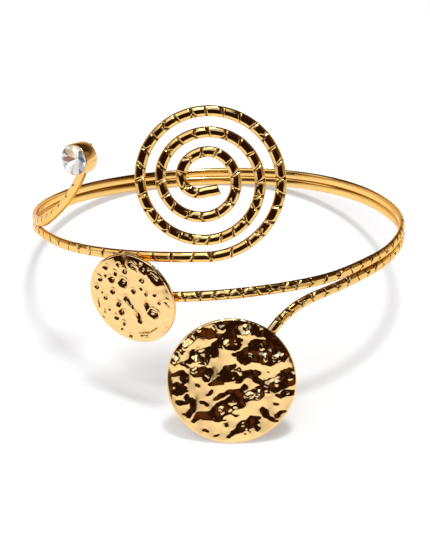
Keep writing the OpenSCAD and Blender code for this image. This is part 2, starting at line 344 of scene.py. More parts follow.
def strand(name, route, out, seed, stem=0):
    run = run_along(route)
    cuts = strokes(run[-1], seed, stem)
    s = stations(run[-1], cuts)
    middle, out = at_run(route, run, s), at_run(out, run, s)
    forward = np.gradient(middle, s, axis=0)
    across = unit(np.cross(out, forward))
    top = unit(np.cross(forward, across))
    shape = section()
    n, m, face = len(s), len(shape), len(OUTER_FACE)
    cut, lip = np.zeros((2, n, m))
    cut[:, :face], lip[:, :face] = engraving(s, OUTER_FACE[::-1], cuts)
    height = shape[:, 1] - CUT_DEPTH*cut + LIP_HEIGHT*(lip - 1)*(np.arange(m) < face)
    points = middle[:, None] + shape[:, :1]*across[:, None] + height[..., None]*top[:, None]
    i, j = np.meshgrid(np.arange(n - 1), np.arange(m), indexing="ij")
    k = (j + 1) % m
    quads = np.stack([i*m + j, (i + 1)*m + j, (i + 1)*m + k, i*m + k], -1).reshape(-1, 4)
    faces = quads.tolist() + [list(range(m)), list(range(n*m - 1, (n - 1)*m - 1, -1))]
    piece = make_piece(name, laid_down(points.reshape(-1, 3)), faces)
    paint(piece, "engraved", cut.ravel())
    # How much painted reflection and shade each point of the section gets, growing towards the edges
    edge = swell((np.abs(shape[:, 0])/(STRAND_WIDTH/2) - EDGE_REFLECTION_FROM)/EDGE_REFLECTION_OVER)
    paint(piece, "edge", np.tile(edge, n))
    print(name, "is", round(s[-1], 1), "mm long, with", n, "rings and", len(cuts), "strokes")
    return piece

upper_strand = strand("upper_strand", *upper_route, seed=3, stem=26)
lower_strand = strand("lower_strand", *lower_route, seed=8)

# %% [markdown]
# ## Plates
# Both discs are cast plates with a relief in front, a rolled edge and a plain back. A circle
# filled from its middle would crowd the points there, so the face is a square grid pressed
# round, with cells of much the same size everywhere.

# %% Plate grid
def facing(points, angle, lift, at):
    """Turns a plate that lies face up to look out at an angle round the arm, and lays it down."""
    return laid_down(points @ (about("Z", angle - 270) @ about("X", 90 - lift)).T + at)

def round_grid(cells):
    """Points of a square grid pressed into a disc of radius 1, in rows."""
    line = np.linspace(-1, 1, cells + 1)
    a, b = np.meshgrid(line, line)
    wide = np.abs(a) > np.abs(b)
    r = np.where(wide, a, b)
    f = math.pi/4*np.where(wide, b, a)/np.where(r == 0, 1, r)
    x, y = r*np.cos(f), r*np.sin(f)
    return np.stack([np.where(wide, x, y), np.where(wide, y, x)], -1)

def border(cells):
    """Indices of the grid's outermost points, in order round the disc."""
    n, k = cells + 1, np.arange(cells)
    return np.concatenate([k, k*n + cells, n*n - 1 - k, (cells - k)*n])

print("border points of a grid of 10 cells:", len(border(10)))

# %% [markdown]
# ## A plate from its relief
# The relief is a function: a height for each place on the face. From the border of the face,
# rings of points run over the smooth quarter round of the rim and in to the middle of the back.

# %% Plate mesh
ROLL_STEPS = np.radians([15, 30, 45, 60, 75, 90])
BACK_EDGE = 0.3
BACK_RINGS = (1, 0.8, 0.6, 0.4, 0.2)

def plate(radius, thick, cells, relief, edge):
    """Round plate in its own plane, from 0 at its back up to its face, with a rolled edge."""
    flat = round_grid(cells)*(radius - edge)
    face = np.dstack([flat, thick + relief(flat[..., 0], flat[..., 1])]).reshape(-1, 3)
    ring = border(cells)
    way = unit(face[ring, :2])
    top, low = face[ring, 2], np.zeros(len(ring))
    rows = [(radius - edge + edge*math.sin(a), top - edge*(1 - math.cos(a))) for a in ROLL_STEPS]
    rows += [(radius, low + BACK_EDGE), (radius - 0.3*BACK_EDGE, low + 0.3*BACK_EDGE)]
    rows += [((radius - BACK_EDGE)*share, low) for share in BACK_RINGS]
    parts = [face] + [np.column_stack([way*reach, z]) for reach, z in rows]
    points = np.vstack(parts + [np.zeros((1, 3))])
    n, m = cells + 1, len(ring)
    i, j = np.meshgrid(np.arange(cells), np.arange(cells), indexing="ij")
    corners = [i*n + j, i*n + j + 1, (i + 1)*n + j + 1, (i + 1)*n + j]
    faces = np.stack(corners, -1).reshape(-1, 4).tolist()
    last, first = ring, len(face)
    for _ in rows:
        now = first + np.arange(m)
        faces += np.stack([last, now, np.roll(now, -1), np.roll(last, -1)], -1).tolist()
        last, first = now, first + m
    faces += [[int(last[k]), len(points) - 1, int(last[(k + 1) % m])] for k in range(m)]
    return points, faces

print("faces of a plain plate of 10 cells:", len(plate(5, 1, 10, lambda x, y: 0*x, 0.3)[1]))

# %% [markdown]
# ## Wandering fields
# Nothing on a hammered plate is straight, so the charts below are bent by fields that wander
# up and down over the face. Noise textures do this in a material, but here the mesh itself has
# to bend, so a field is a sum of seeded waves in many directions.

# %% Fields
def noise_field(seed, size, count=28):
    """Smooth wandering field: waves of about one size in many directions."""
    rng = np.random.default_rng(seed)
    aim, phase = rng.uniform(0, 2*math.pi, count), rng.uniform(0, 2*math.pi, count)
    k = 2*math.pi/size*rng.uniform(0.6, 1.4, count)
    def field(x, y):
        return sum(np.sin(k[i]*(x*math.cos(aim[i]) + y*math.sin(aim[i])) + phase[i])
                   for i in range(count))/math.sqrt(count/2)
    return field

bend_x, bend_y = noise_field(11, 3.4), noise_field(12, 3.4)
fine_x, fine_y = noise_field(13, 1.1), noise_field(14, 1.1)
bumps = noise_field(16, 2.4)
print("bumps at the middle:", round(float(bumps(0, 0)), 2))

# %% [markdown]
# ## Chart of the large disc
# The hammered face has deep dents that lie roughly in rows, and small round domes that stand in
# them. They are charted in millimetres right of and above the middle. Sculpting with
# a brush would work too, but it can't be run again.

# %% Large disc chart
# Dents: each tapers from (right, up, radius) to (right, up, radius)
LARGE_STROKES = [
    (-11.5, 4.7, 0.8, -9.1, 7.5, 0.8), (-9.1, 7.9, 0.6, -5.9, 9.9, 0.8),
    (-5.9, 10.1, 0.8, -3.6, 10.5, 0.8), (-2.6, 11.9, 0.6, 0.3, 11.2, 1.4),
    (0.3, 11.4, 1.4, 4.2, 10.5, 1.2), (-4.8, 9.5, 0.4, 0.3, 9.4, 0.8), (-1.7, 9, 0.8, 1.9, 8.5, 0.6),
    (-2.1, 7.8, 1, 1.1, 7.5, 1), (5, 9.3, 0.6, 6.6, 9.9, 0.6), (6.6, 9.7, 0.6, 9.6, 7.2, 1),
    (5, 7.9, 0.6, 8.7, 7.6, 1), (4.9, 6.6, 1, 10, 5.5, 1.2), (4.2, 7.9, 0.6, 5.1, 5.8, 1),
    (6.1, 4.3, 0.8, 10, 4.5, 0.8), (1, 5.5, 0.6, 3.8, 6.2, 1), (1.6, 4.4, 0.8, 5.3, 5.2, 1.4),
    (-6, 5.8, 1, -3.7, 6.4, 1), (-7.2, 5.2, 1, -4.9, 4.5, 0.8), (-6.9, 2.3, 1, -6.7, 2.1, 1),
    (-5.5, 2.7, 0.8, -5.3, 0.5, 0.4), (-4.7, 2.1, 0.8, -4.5, 0.6, 0.4), (-3.4, 7.6, 0.6, -3.1, 5.7, 0.4),
    (-8.4, 4.2, 0.4, -7.4, 6.4, 0.3), (-9.2, 3.8, 0.4, -8.6, 3, 0.3), (-11.4, 1.8, 0.6, -9.2, 1.8, 0.6),
    (-9.4, 1.6, 0.5, -9.2, 0.3, 0.5), (-11, -0.5, 0.6, -9.7, -1.1, 1),
    (-10.7, -1.9, 0.6, -8.9, -1.7, 0.4), (-8.9, -2.6, 0.4, -8.7, -3.6, 0.4),
    (-10.7, -4, 0.6, -8.5, -4.2, 0.4), (-8.1, -3.6, 0.5, -7.6, -5.3, 0.4),
    (-7.6, -5.3, 0.4, -8.6, -6.9, 0.4), (-9.4, -6.7, 0.3, -8.6, -6.9, 0.3),
    (-2.4, 1.6, 0.4, -1, 2.4, 0.9), (-1, 2.6, 0.8, 0.2, 3.2, 0.6), (-1.8, 0.8, 0.6, 1.7, 0.5, 0.8),
    (-0.6, 1.4, 0.8, 1.7, 1.1, 0.8), (1.7, 1.3, 1, 5.2, 1.9, 0.8), (0.8, 2.4, 0.3, 1.5, 2.8, 0.3),
    (4.6, 0.7, 0.6, 5.6, -0.2, 0.6), (-3.8, -0.2, 0.5, -2.2, 0.2, 0.6), (-2.2, 0.4, 0.6, -1.4, 1.2, 0.4),
    (-7.4, -7.9, 0.6, -6.4, -6.7, 0.8), (-6.5, -7.1, 0.8, -3.3, -6.6, 1.2),
    (-3.7, -5.7, 0.6, -1.5, -4.5, 0.8), (-1.9, -4.9, 0.8, 0.8, -3.6, 1.4),
    (-1.1, -2.1, 0.6, 0.9, -2.1, 0.8), (0.9, -2.5, 1, 2.8, -2, 0.6), (1.6, -3.4, 1, 5.2, -2.6, 1),
    (4.8, -1.8, 0.8, 7.5, -0.8, 1), (7.2, -0.6, 1, 9.5, -0.2, 1.2), (8.3, -1.6, 0.8, 10.1, -0.9, 0.8),
    (9.5, 0.6, 1, 10.9, 2, 0.8), (-2.9, -3.3, 0.5, -0.7, -2.1, 0.4), (-3.3, -7.2, 1, -0.8, -5.8, 0.8),
    (-0.7, -4.4, 1, 1.6, -4.6, 0.8), (0, -6.2, 0.3, 1, -6.9, 0.3), (-1.6, -8.2, 0.3, -1.2, -9.1, 0.3),
    (-4.8, -2.6, 0.26, -3.8, -1.6, 0.3), (-6, -4.3, 0.26, -5.2, -4.7, 0.3),
    (1.9, -1.3, 0.4, 2.5, -1.1, 0.6), (10.6, -2.5, 0.8, 12, -2.3, 0.6), (9.1, -2.7, 0.4, 10.2, -3.1, 0.4),
    (11.5, -0.1, 0.6, 12.1, 0.7, 0.6), (9.9, 1.8, 0.6, 11.7, 0.5, 0.8),
    (-0.7, -11.1, 0.26, 1.5, -9.5, 0.7), (1.5, -9.5, 0.8, 3.9, -8.5, 1.2),
    (3.9, -7.9, 0.8, 5.3, -7.5, 0.3), (2.7, -10.8, 0.4, 3.3, -10.4, 0.3), (5, -9.6, 0.5, 5.2, -9.6, 0.4),
    (6.3, -5.9, 0.7, 6.6, -7.2, 0.8), (7, -7.6, 0.5, 8.6, -8, 0.4), (9, -7, 0.5, 10.4, -6.4, 0.3),
    (8.6, -4.5, 0.32, 9, -4.5, 0.28), (-5.7, -9.8, 0.3, -4.9, -10.2, 0.3),
    (-3.2, -10.9, 0.32, -2.8, -10.9, 0.28), (7.2, 1.7, 0.26, 7.4, 1.7, 0.24),
    (-6.7, -0.3, 0.24, -6.5, -0.6, 0.24), (-3.2, 8.2, 0.26, -3, 8, 0.26),
]

# Small domes: right, up, radius
LARGE_BALLS = [
    (-0.9, 8.2, 0.7), (-1.1, 7.4, 0.6), (0.9, 8.1, 0.5), (3.9, 5.4, 0.5), (6.7, 4.9, 0.6),
    (8.8, 4.9, 0.7), (10.2, 5.3, 0.4), (-7.1, 2.5, 0.7), (-4.7, 1.5, 0.5), (0.2, -4.2, 0.7),
    (-1.9, -5.8, 0.8), (8.9, -0.4, 0.6), (11.5, 0.6, 0.6), (7.1, -2.4, 0.5), (3.4, -2.6, 0.7),
    (5.4, -2.2, 0.6), (6.6, -0.6, 0.7), (5.1, -3.2, 0.44), (2.9, 10.8, 0.7), (2.9, 9.7, 0.8),
    (-1.6, 10.9, 0.8), (-3.2, 10.9, 0.5), (-6.1, 10.7, 0.5), (-9.1, 7.3, 0.6), (-9.9, 6.1, 0.6),
    (-11.1, 3.8, 0.7), (-7.5, 9.1, 0.5), (-6.4, 4.6, 0.7), (-5.5, 3.7, 0.6), (-7.2, 4.8, 0.5),
    (1.7, 2, 0.5), (0.5, 0.3, 0.6), (-3.5, -8, 0.5), (-1.6, -8, 0.44), (2.1, -8.9, 0.5), (11, -2.3, 0.4),
    (2.9, -10.2, 0.5), (6.1, 7, 0.7),
]

# Crumpled places of the dents: middle and half sizes
CRUMPLED = [(-8.2, 8.2, 4.4, 2.6), (-5.8, 4.6, 2.6, 3.0), (-10.3, 4.8, 2.0, 3.2), (3.4, 10.4, 3.0, 1.5),
            (4.6, -2.6, 3.8, 1.7), (7.8, 5.2, 3.6, 1.8), (0.6, -5.2, 3.2, 1.5), (8.6, 0.2, 2.4, 1.4),
            (-1.2, 8.0, 1.6, 1.1)]
print("large disc:", len(LARGE_STROKES), "strokes and", len(LARGE_BALLS), "domes")

# %% [markdown]
# ## From a chart to slopes
# A polished dent shows by what it mirrors, and that depends on its slope, not on its depth. So
# this relief is made from slopes: inside a dent the metal leans up, outside it leans down a
# little. Slopes chosen freely don't fit any surface, so each round clips them to their range
# and finds the nearest surface that has them, as a sum of waves of every length.

# %% Relief grid
MARGIN = 1.5  # the grid goes this far past the disc
FADE = 1.2  # and the relief fades out over this much of it
LONG_WAVES = 0.02  # keeps the longest waves from drifting

class Relief:
    """Heights on an even grid over the face, read between its cells."""
    def __init__(self, radius, cell=0.05):
        self.x0, self.cell = -radius - MARGIN, cell
        self.n = int(2*(radius + MARGIN)/cell) + 1
        c = self.x0 + cell*np.arange(self.n)
        self.x, self.y = np.meshgrid(c, c)
        self.height = np.zeros_like(self.x)
        self.inside = swell((radius + FADE - np.hypot(self.x, self.y))/FADE)

    def lean(self, low, high, across, rounds):
        """Adds heights with slopes near low to high upwards, and up to `across` sideways."""
        k = 2*math.pi*np.fft.fftfreq(self.n, self.cell)
        kx, ky = np.meshgrid(k, k)
        gx, gy = np.zeros_like(self.x), (low + high)/2
        for _ in range(rounds):
            GX, GY = np.fft.fft2(gx*self.inside), np.fft.fft2(gy*self.inside)
            H = -1j*(kx*GX + ky*GY)/(kx**2 + ky**2 + LONG_WAVES)
            gx = np.clip(np.real(np.fft.ifft2(1j*kx*H)), -across, across)
            gy = np.clip(np.real(np.fft.ifft2(1j*ky*H)), low, high)
        self.height += np.real(np.fft.ifft2(H))

    def at(self, x, y):
        u, v = (x - self.x0)/self.cell, (y - self.x0)/self.cell
        i, j = np.clip(u.astype(int), 0, self.n - 2), np.clip(v.astype(int), 0, self.n - 2)
        a, b, d = u - i, v - j, self.height
        near, far = (1 - a)*d[j, i] + a*d[j, i + 1], (1 - a)*d[j + 1, i] + a*d[j + 1, i + 1]
        return (1 - b)*near + b*far

LARGE_R = 12.75
large = Relief(LARGE_R)
print("cells across the large disc's grid:", large.n)

# %% [markdown]
# ## Slopes of the large disc
# The dents lean up by 5 to 12 degrees, just enough to mirror the dark room in front, and more
# in the crumpled places, where they flash. The plain face leans down and mirrors the floor.

# %% Large disc slopes
WANDER, WANDER_FINE = 0.16, 0.05  # how far the edges of the strokes stray
GROW, SOFT = 0.02, 0.12
LEAST_LEAN, MORE_LEAN, CRUMPLE_LEAN, LEAN_RANGE = 5, 7, 14, 7  # degrees
PLAIN_LOW, PLAIN_HIGH = 0.03, 0.3  # slopes of the plain face
SIDEWAYS = 0.5
ROUNDS = 14

def stroke_mask(rows, x, y):
    """1 inside the strokes, 0 outside, with wandering edges."""
    X = x + WANDER*bend_x(x, y) + WANDER_FINE*fine_x(x, y)
    Y = y + WANDER*bend_y(x, y) + WANDER_FINE*fine_y(x, y)
    inside = np.full(x.shape, -np.inf)
    for ax, ay, ar, bx, by, br in rows:
        share, away = to_stroke(X, Y, ax, ay, bx, by)
        inside = np.maximum(inside, ar + share*(br - ar) - away)
    return swell(0.5 + (inside + GROW)/SOFT/2)

mask = stroke_mask(LARGE_STROKES, large.x, large.y)
crumple = np.zeros_like(large.x)
for cx, cy, rx, ry in CRUMPLED:
    near = swell(1.7 - 1.7*np.hypot((large.x - cx)/rx, (large.y - cy)/ry))
    crumple = np.maximum(crumple, near)
uneven = bumps(large.x, large.y)
lean_up = LEAST_LEAN + MORE_LEAN*swell(0.5 + 0.6*bend_y(large.x, large.y))
lean_up += CRUMPLE_LEAN*crumple*swell(0.55 + 0.8*uneven)
steep, steepest = np.tan(np.radians(lean_up)), np.tan(np.radians(lean_up + LEAN_RANGE))
large.lean(PLAIN_LOW - (PLAIN_LOW + steepest)*mask, PLAIN_HIGH - (PLAIN_HIGH + steep)*mask,
           SIDEWAYS, ROUNDS)
print("share of the face in dents:", round(float(mask[large.inside > 0.99].mean()), 2))

# %% [markdown]
# ## Domes and the finished large disc
# The domes are drops of metal, each a little oval. They are added to the heights, and the
# highest part of the face is brought level with the plate's thickness.

# %% Large disc
LARGE_THICK, LARGE_EDGE, LARGE_CELLS = 1.5, 0.4, 230
LARGE_DEEPEST = 1.15
LARGE_PLACE = (270, 2, np.array([2.8, -45.5, -20.4]))  # angle, lift, middle of its back

rng = np.random.default_rng(5)
for bx, by, br in LARGE_BALLS:
    a, wide, high = rng.uniform(0, math.pi), rng.uniform(1.05, 1.5), rng.uniform(0.2, 0.38)
    u = (large.x - bx)*math.cos(a) + (large.y - by)*math.sin(a)
    v = (large.y - by)*math.cos(a) - (large.x - bx)*math.sin(a)
    r = np.hypot(u/wide, v)/br + 0.12*fine_x(large.x, large.y)
    large.height += high*br*np.clip(1 - r**2, 0, 1)**1.8
large.height += 0.05*crumple*uneven

on_face = large.inside > 0.99
large.height -= np.percentile(large.height[on_face], 99.5)
print("large disc relief mm, deepest:", round(large.height[on_face].min(), 2))

def large_relief(x, y):
    return np.clip(large.at(x, y), -LARGE_DEEPEST, 0)

points, faces = plate(LARGE_R, LARGE_THICK, LARGE_CELLS, large_relief, LARGE_EDGE)
large_disc = make_piece("large_disc", facing(points, *LARGE_PLACE), faces)

# %% [markdown]
# ## Chart of the small disc
# This disc is smooth, with small round pits as from a punch, a few longer dents and some thin
# creases near its lower edge. Each has its own place, so they are charted one by one.

# %% Small disc chart
# Round pits: right of and above the middle, radius
SMALL_PITS = [
    (-4.8, 6.5, 0.5), (-1.7, 7.5, 0.45), (-0.4, 6.2, 0.5), (-2.7, 5.4, 0.45), (-5.1, 4.6, 0.35),
    (-6.5, 3.7, 0.5), (-7.6, 1.8, 0.45), (-6.5, 0.8, 0.25), (-4, 1.2, 0.5), (-5.9, -0.4, 0.4),
    (-5.4, -2.9, 0.3), (-3, -1.4, 0.55), (-2.6, -3.1, 0.6), (-4, -4.6, 0.45), (-2.5, -5.7, 0.4),
    (-3.1, -6.9, 0.3), (-1.3, -8.4, 0.4), (1, 2, 0.45), (2.8, 2.8, 0.35), (3.8, 1.7, 0.4),
    (5.8, 1.9, 0.4), (6.5, 0.2, 0.35), (8.5, -3.1, 0.4), (7.2, -5.1, 0.4), (3.3, 4.7, 0.5),
    (-3.8, 3.9, 0.65), (-1.3, 3.5, 0.95), (3.9, 7, 0.8), (6.4, 5.7, 0.8), (1.3, 7.9, 0.4),
]

# Long dents and creases as tapering strokes, like those of the large disc
SMALL_STROKES = [
    (-1.1, 0.2, 0.45, 0, -1.3, 0.35), (0, -1.3, 0.25, 0.9, -2.4, 0.12), (1.2, -3, 0.4, 1.5, -4.5, 0.5),
    (3.5, -0.4, 0.4, 3.9, -1.6, 0.6), (4.5, -2.3, 0.85, 5.1, -2.5, 0.8), (8.1, 0.5, 0.35, 8.7, -0.7, 0.4),
    (1.2, 7.7, 0.5, 2.4, 7.0, 0.4), (5.2, 6.4, 0.5, 6.6, 5.2, 1.0), (1.3, -7.75, 0.2, 2.6, -7.7, 0.3),
    (0.8, -7.25, 0.1, 3.2, -6.8, 0.12), (3.2, -6.8, 0.12, 5.2, -5.6, 0.1),
    (-5.8, -6.6, 0.1, -4.6, -7.5, 0.12), (-7.8, -0.8, 0.12, -7.7, -2.6, 0.15),
    (-7.2, -4.7, 0.1, -6.8, -5.4, 0.12), (-6.6, -2.9, 0.1, -6.5, -3.8, 0.13),
]
print("small disc:", len(SMALL_PITS), "pits and", len(SMALL_STROKES), "strokes")

# %% [markdown]
# ## Relief of the small disc
# A punch leaves a pit with a dark floor, a bright point in it and a soft lip round it. Each
# floor here is a small slope that faces up and to the right, so that it mirrors the dark part
# of the room, and the bright point is a finer pit in its middle. Overlapping dents take the
# deeper one, since adding them would make wells. The plate's upper right edge is bent back.

# %% Small disc relief
SMALL_D = 19.1
DENT_LEAN = (0.5, 0.866)  # the way the floors of the dents look: up and right
DENT_SLOPE, CORNER_LESS = 0.41, 0.3
DENT_WIDER, DENT_END, STRAY = 1.25, 1.05, 0.04
POINT_DEPTH, POINT_WIDE = 0.15, 0.26
DENT_LIP, DENT_LIP_REACH = 0.17, 0.42
CORNER_AIM, CORNER_BEND, CORNER_REACH = 34, 0.19, 2.7
FACE_DROP = 0.14  # leaves room for the lips under the plate's thickness

small = Relief(SMALL_D/2)
reach = np.hypot(small.x, small.y)
aim = np.arctan2(small.y, small.x) - math.radians(CORNER_AIM)
corner = swell((np.cos(aim) - 0.1)/0.4)
steep = DENT_SLOPE - CORNER_LESS*corner*swell((reach - SMALL_D/2 + 2.9)/0.8)
x, y = small.x + STRAY*fine_x(small.x, small.y), small.y + STRAY*fine_y(small.x, small.y)
dents, lips = np.zeros((2, small.n, small.n))
for ax, ay, ar, bx, by, br in SMALL_STROKES + [(x, y, r, x + 0.01, y, r) for x, y, r in SMALL_PITS]:
    share, away = to_stroke(x, y, ax, ay, bx, by)
    wide = DENT_WIDER*(ar + share*(br - ar))
    r = away/wide
    foot = min(0, DENT_LEAN[0]*(bx - ax) + DENT_LEAN[1]*(by - ay)) - 1.2*max(ar, br)
    rise = np.maximum(DENT_LEAN[0]*(x - ax) + DENT_LEAN[1]*(y - ay) - foot, 0)
    depth = steep*rise*swell((DENT_END - r)/0.3) + POINT_DEPTH*wide*np.exp(-(r/POINT_WIDE)**2)
    dents = np.maximum(dents, depth)
    lip = wide**0.7*np.exp(-(np.maximum(r - 1.1, 0)*wide/DENT_LIP_REACH)**2)
    lips = np.maximum(lips, lip)
small.height += swell((SMALL_D/2 - 0.3 - reach)/1.0)*(DENT_LIP*lips - dents)
small.height -= CORNER_BEND*corner*np.maximum(reach - SMALL_D/2 + CORNER_REACH, 0)**1.6
small.height += 0.012*bumps(small.x, small.y) - FACE_DROP
print("small disc relief mm, deepest:", round(small.height[small.inside > 0.99].min(), 2))

# %% [markdown]
# ## The finished small disc
# It hangs a little turned and tipped from the end of the upper strand, so it gets an angle of
# its own and a lift below zero. Close to the rim the relief is halved.

# %% Small disc
SMALL_THICK, SMALL_EDGE, SMALL_CELLS = 1.2, 0.55, 200
SMALL_DEEPEST = 1.02
SMALL_PLACE = (241, -11, np.array([-16.7, -42.0, -4.6]))  # angle, lift, middle of its face

def small_relief(x, y):
    rim = swell((SMALL_D/2 - np.hypot(x, y))/0.25)
    return np.clip(small.at(x, y), -SMALL_DEEPEST, 0.0)*(0.5 + 0.5*rim)

points, faces = plate(SMALL_D/2, SMALL_THICK, SMALL_CELLS, small_relief, SMALL_EDGE)
small_disc = make_piece("small_disc", facing(points - [0, 0, SMALL_THICK], *SMALL_PLACE), faces)

# %% [markdown]
# ## Crystal cup
# The cup is a short tube with a floor, pressed from sheet, with a bead of solder at its back.
# A profile and the Screw modifier would give it. A profile turned in code gives the bead as
# well, as half a circle.

# %% Cup
CUP_D, CUP_DEEP, CUP_WALL = 6.2, 3.3, 0.35
CUP_PLACE = (236.6, 0, np.array([-25.1, -35.0, 22.7]))
CUP_R = CUP_D/2
INNER_R = CUP_R - CUP_WALL
BEAD_R, BEAD_AIM = 0.3, math.radians(56)
# Radius and height, from the back over the lip to the floor inside
CUP_PROFILE = [(0, -0.2), (CUP_R - 0.25, -0.2), (CUP_R - 0.07, -0.13), (CUP_R, 0.05),
               (CUP_R, CUP_DEEP - 0.12), (CUP_R - 0.05, CUP_DEEP - 0.03), (CUP_R - 0.12, CUP_DEEP),
               (CUP_R - 0.2, CUP_DEEP - 0.04), (INNER_R, CUP_DEEP - 0.2), (INNER_R, 0.75),
               (INNER_R - 0.1, 0.7), (0, 0.7)]

def ring(radius, height, count, turn=0.0):
    a = np.radians(360*np.arange(count)/count + turn)
    return np.column_stack([radius*np.cos(a), radius*np.sin(a), np.full(count, height)])

def turned(profile, count):
    """Points and faces of a profile (radius, height) turned round Z, from axis to axis."""
    rings = [ring(r, z, count) for r, z in profile[1:-1]]
    points = np.vstack([[[0, 0, profile[0][1]]], *rings, [[0, 0, profile[-1][1]]]])
    faces, last, end = [], len(points) - 1, 1 + (len(rings) - 1)*count
    for j in range(count):
        k = (j + 1) % count
        faces.append([0, 1 + k, 1 + j])
        for i in range(len(rings) - 1):
            here, there = 1 + i*count, 1 + (i + 1)*count
            faces.append([here + j, here + k, there + k, there + j])
        faces.append([last, end + j, end + k])
    return points, faces

points, faces = turned(CUP_PROFILE, 96)
half_turn = np.radians(np.linspace(0, 180, 9))
bead, bead_faces = turned([(BEAD_R*math.sin(k), -BEAD_R*math.cos(k)) for k in half_turn], 16)
faces += [[len(points) + i for i in face] for face in bead_faces]
bead_place = [CUP_R*math.cos(BEAD_AIM), CUP_R*math.sin(BEAD_AIM), 0.05]
points = np.vstack([points, bead + bead_place])
crystal_cup = make_piece("crystal_cup", facing(points, *CUP_PLACE), faces)

# %% [markdown]
# ## Crystal
# The stone is a round brilliant: an eight-sided table, eight kites, sixteen upper facets, a
# girdle and a pointed back. Its sparkle needs flat facets with sharp edges, so the mesh has one
# face for each facet and no smooth shading.

# %% Stone
STONE_R = CUP_R - 0.16
GIRDLE = CUP_DEEP + 0.12

def brilliant(r, girdle):
    """A round cut stone with its girdle at a height: the table, then nine faces an eighth."""
    points = np.vstack([ring(0.56*r, girdle + 0.75, 8), ring(0.8*r, girdle + 0.45, 8, 22.5),
                        ring(r, girdle + 0.02, 16), ring(r, girdle - 0.1, 16),
                        ring(0.55*r, girdle - 1.1, 8, 22.5), [[0, 0, girdle - 2.1]]])
    T, K, G, U, B, P = 0, 8, 16, 32, 48, 56  # where each ring of points begins
    faces = [[T + k for k in range(8)]]
    for k in range(8):
        before, after, a, b, c = (k - 1) % 8, (k + 1) % 8, 2*k, 2*k + 1, (2*k + 2) % 16
        faces += [[T + k, K + k, T + after], [T + k, K + before, G + a, K + k],
                  [K + k, G + a, G + b], [K + k, G + b, G + c],
                  [G + a, U + a, U + b, G + b], [G + b, U + b, U + c, G + c],
                  [B + k, U + b, U + a], [B + k, U + c, U + b], [U + a, B + k, P, B + before]]
    return points, faces

points, faces = brilliant(STONE_R, GIRDLE)
crystal = make_piece("cut_crystal", facing(points, *CUP_PLACE), faces, smooth=False)

# %% [markdown]
# ## Building materials from nodes
# A material is a small machine of nodes, and wiring it in code takes the same few moves again
# and again. `fill` feeds a node by the names of its sockets (an underscore is a space), and
# `add` makes a node and fills it.

# %% Node helpers
def feed(tree, socket, value):
    """Links a socket to another node's output, or sets it to a plain number or colour."""
    if isinstance(value, bpy.types.NodeSocket):
        tree.links.new(value, socket)
    else:
        socket.default_value = value

def fill(tree, node, **values):
    for label, value in values.items():
        feed(tree, node.inputs[label.replace("_", " ")], value)
    return node

def add(tree, kind, **values):
    return fill(tree, tree.nodes.new(kind), **values)

def worked(tree, operation, first, second):
    """Two values put together by a Math node."""
    node = add(tree, "ShaderNodeMath")
    node.operation = operation
    feed(tree, node.inputs[0], first)
    feed(tree, node.inputs[1], second)
    return node.outputs[0]

def mixed(tree, factor, first, second):
    """Two colours, mixed by a factor."""
    node = add(tree, "ShaderNodeMix")
    node.data_type = "RGBA"
    return fill(tree, node, Factor=factor, A=first, B=second).outputs["Result"]

def stretched(tree, value, low, high, smooth=False):
    """A value stretched so that low becomes 0 and high becomes 1."""
    node = add(tree, "ShaderNodeMapRange", Value=value, From_Min=low, From_Max=high)
    node.interpolation_type = "SMOOTHSTEP" if smooth else "LINEAR"
    return node.outputs["Result"]

def painted(tree, name):
    """What a mesh keeps under a name, at each point or face."""
    node = add(tree, "ShaderNodeAttribute")
    node.attribute_name = name
    return node.outputs

def fresh_material(name, **values):
    """A new material, its node tree and its shader."""
    mat = bpy.data.materials.new(name)
    mat.use_nodes = True
    return mat, mat.node_tree, fill(mat.node_tree, mat.node_tree.nodes["Principled BSDF"], **values)

print("node helpers: feed, fill, add, worked, mixed, stretched, painted")

# %% [markdown]
# ## Two effects that all the gold shares
# The tone of gold plate drifts a little where it is thicker, and no polish is quite even. Both
# could be painted. Here they are shader groups, made once and placed in each gold with other
# values: one gives a colour, the other a normal and a roughness.

# %% Shader groups
WHITE = (1, 1, 1, 1)

def node_group(name, inputs, outputs):
    """A group's tree, the outputs of its input node, and its output node."""
    group = bpy.data.node_groups.new(name, "ShaderNodeTree")
    for label, value in inputs.items():
        kind = "NodeSocketFloat" if isinstance(value, float) else "NodeSocketColor"
        group.interface.new_socket(label, in_out="INPUT", socket_type=kind).default_value = value
    for label, kind in outputs.items():
        group.interface.new_socket(label, in_out="OUTPUT", socket_type=kind)
    return group, add(group, "NodeGroupInput").outputs, add(group, "NodeGroupOutput")

def noise(tree, size_mm, detail):
    """Noise on the piece's own coordinates, with lumps of a size in millimetres."""
    place = add(tree, "ShaderNodeTexCoord").outputs["Object"]
    scale = worked(tree, "DIVIDE", MM, size_mm)
    return add(tree, "ShaderNodeTexNoise", Vector=place, Scale=scale, Detail=detail).outputs["Fac"]

def tone_group():
    """A colour with slow patches of a second colour."""
    tree, take, give = node_group(
        "Gold tone",
        {"Colour": WHITE, "Patch colour": WHITE, "Patch size mm": 6.0, "Patch share": 0.3},
        {"Colour": "NodeSocketColor"})
    patches = worked(tree, "MULTIPLY", noise(tree, take["Patch size mm"], 3), take["Patch share"])
    fill(tree, give, Colour=mixed(tree, patches, take["Colour"], take["Patch colour"]))
    return tree

def surface_group():
    """Fine unevenness of polished cast metal: a normal, and a roughness that varies a little."""
    tree, take, give = node_group(
        "Polished surface",
        {"Grain mm": 0.5, "Depth mm": 0.004, "Roughness": 0.1, "Spread": 0.05},
        {"Normal": "NodeSocketVector", "Roughness": "NodeSocketFloat"})
    grain = noise(tree, take["Grain mm"], 2)
    depth = worked(tree, "MULTIPLY", take["Depth mm"], 1/MM)
    bump = add(tree, "ShaderNodeBump", Height=grain, Distance=depth)
    spread = worked(tree, "MULTIPLY", grain, take["Spread"])
    fill(tree, give, Normal=bump.outputs["Normal"],
         Roughness=worked(tree, "ADD", spread, take["Roughness"]))
    return tree

